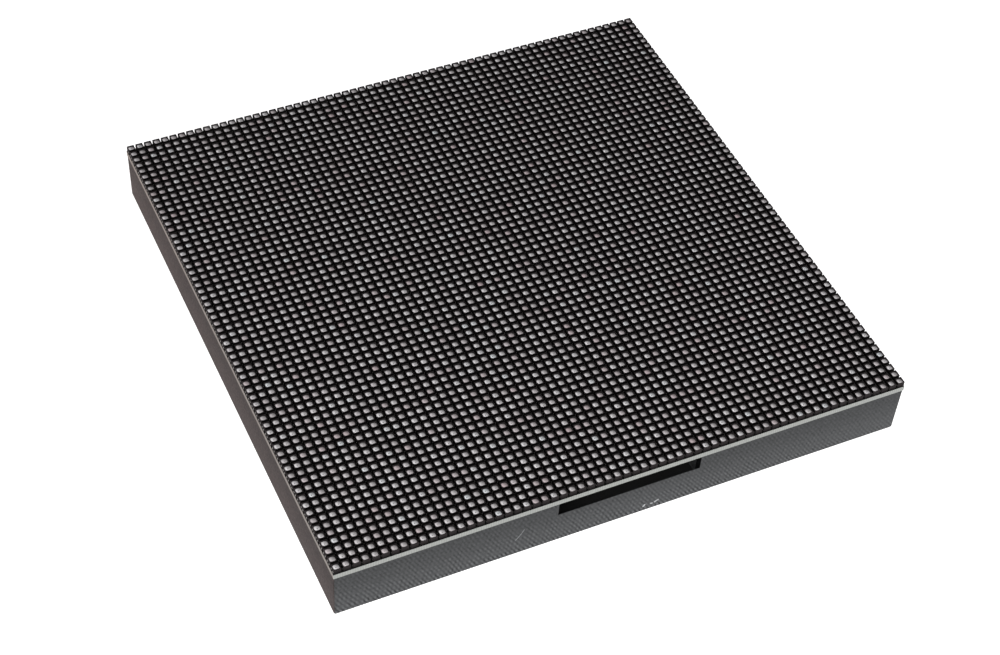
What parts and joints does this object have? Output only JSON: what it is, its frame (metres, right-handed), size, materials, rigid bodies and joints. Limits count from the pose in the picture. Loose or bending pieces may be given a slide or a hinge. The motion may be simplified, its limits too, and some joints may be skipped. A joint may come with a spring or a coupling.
{
  "type": "led display module",
  "caption": "Square LED display module: a matrix of surface-mounted lamps on a circuit board with its driver electronics behind, held by a ribbed plastic frame with threaded inserts.",
  "frame": {"origin": "middle of the frame's back face, on which the module lies", "axes": "+Z out of the display, -Y towards the notched front wall, +X to the right seen from the front wall"},
  "size_m": [0.1598, 0.1598, 0.0182],
  "materials": {
    "frame_plastic": "dark grey moulded plastic, fine texture",
    "board_laminate": "black solder mask, pale cut edge",
    "lamp_body": "black lamp housing",
    "lamp_window": "milky encapsulant",
    "insert_brass": "knurled",
    "plated_steel": "zinc plated",
    "connector_black": "moulded",
    "connector_white": "natural nylon",
    "contact_gold": "gold flash",
    "contact_tin": "tinned",
    "chip_epoxy": "moulded epoxy",
    "can_aluminium": "drawn can",
    "ceramic_tan": "ceramic with tinned ends",
    "resistor_black": "glazed, tinned ends"
  },
  "bodies": {
    "root": {"board_nuts": "plated_steel", "board_screws": "plated_steel", "buffer_chip_01": "chip_epoxy", "buffer_chip_02": "chip_epoxy", "buffer_leads": "contact_tin", "bypass_capacitors": "ceramic_tan", "capacitor_base_01": "connector_black", "capacitor_base_02": "connector_black", "capacitor_base_03": "connector_black", "capacitor_base_04": "connector_black", "capacitor_can_01": "can_aluminium", "capacitor_can_02": "can_aluminium", "capacitor_can_03": "can_aluminium", "capacitor_can_04": "can_aluminium", "circuit_board": "board_laminate", "data_in_pins": "contact_gold", "data_in_shroud": "connector_black", "data_out_pins": "contact_gold", "data_out_shroud": "connector_black", "driver_chip_01": "chip_epoxy", "driver_chip_02": "chip_epoxy", "driver_chip_03": "chip_epoxy", "driver_chip_04": "chip_epoxy", "driver_chip_05": "chip_epoxy", "driver_chip_06": "chip_epoxy", "driver_chip_07": "chip_epoxy", "driver_chip_08": "chip_epoxy", "driver_chip_09": "chip_epoxy", "driver_chip_10": "chip_epoxy", "driver_chip_11": "chip_epoxy", "driver_chip_12": "chip_epoxy", "driver_chip_13": "chip_epoxy", "driver_chip_14": "chip_epoxy", "driver_chip_15": "chip_epoxy", "driver_chip_16": "chip_epoxy", "driver_chip_17": "chip_epoxy", "driver_chip_18": "chip_epoxy", "driver_chip_19": "chip_epoxy", "driver_chip_20": "chip_epoxy", "driver_chip_21": "chip_epoxy", "driver_chip_22": "chip_epoxy", "driver_chip_23": "chip_epoxy", "driver_chip_24": "chip_epoxy", "driver_leads": "contact_tin", "edge_lamps": "lamp_body", "frame": "frame_plastic", "lamp_rows": "lamp_body", "mount_inserts": "insert_brass", "power_pins": "contact_tin", "power_socket": "connector_white", "resistor_arrays": "resistor_black", "scan_chip_01": "chip_epoxy", "scan_chip_02": "chip_epoxy", "scan_chip_03": "chip_epoxy", "scan_chip_04": "chip_epoxy", "scan_leads": "contact_tin", "set_resistors": "resistor_black"}
  },
  "joints": []
}
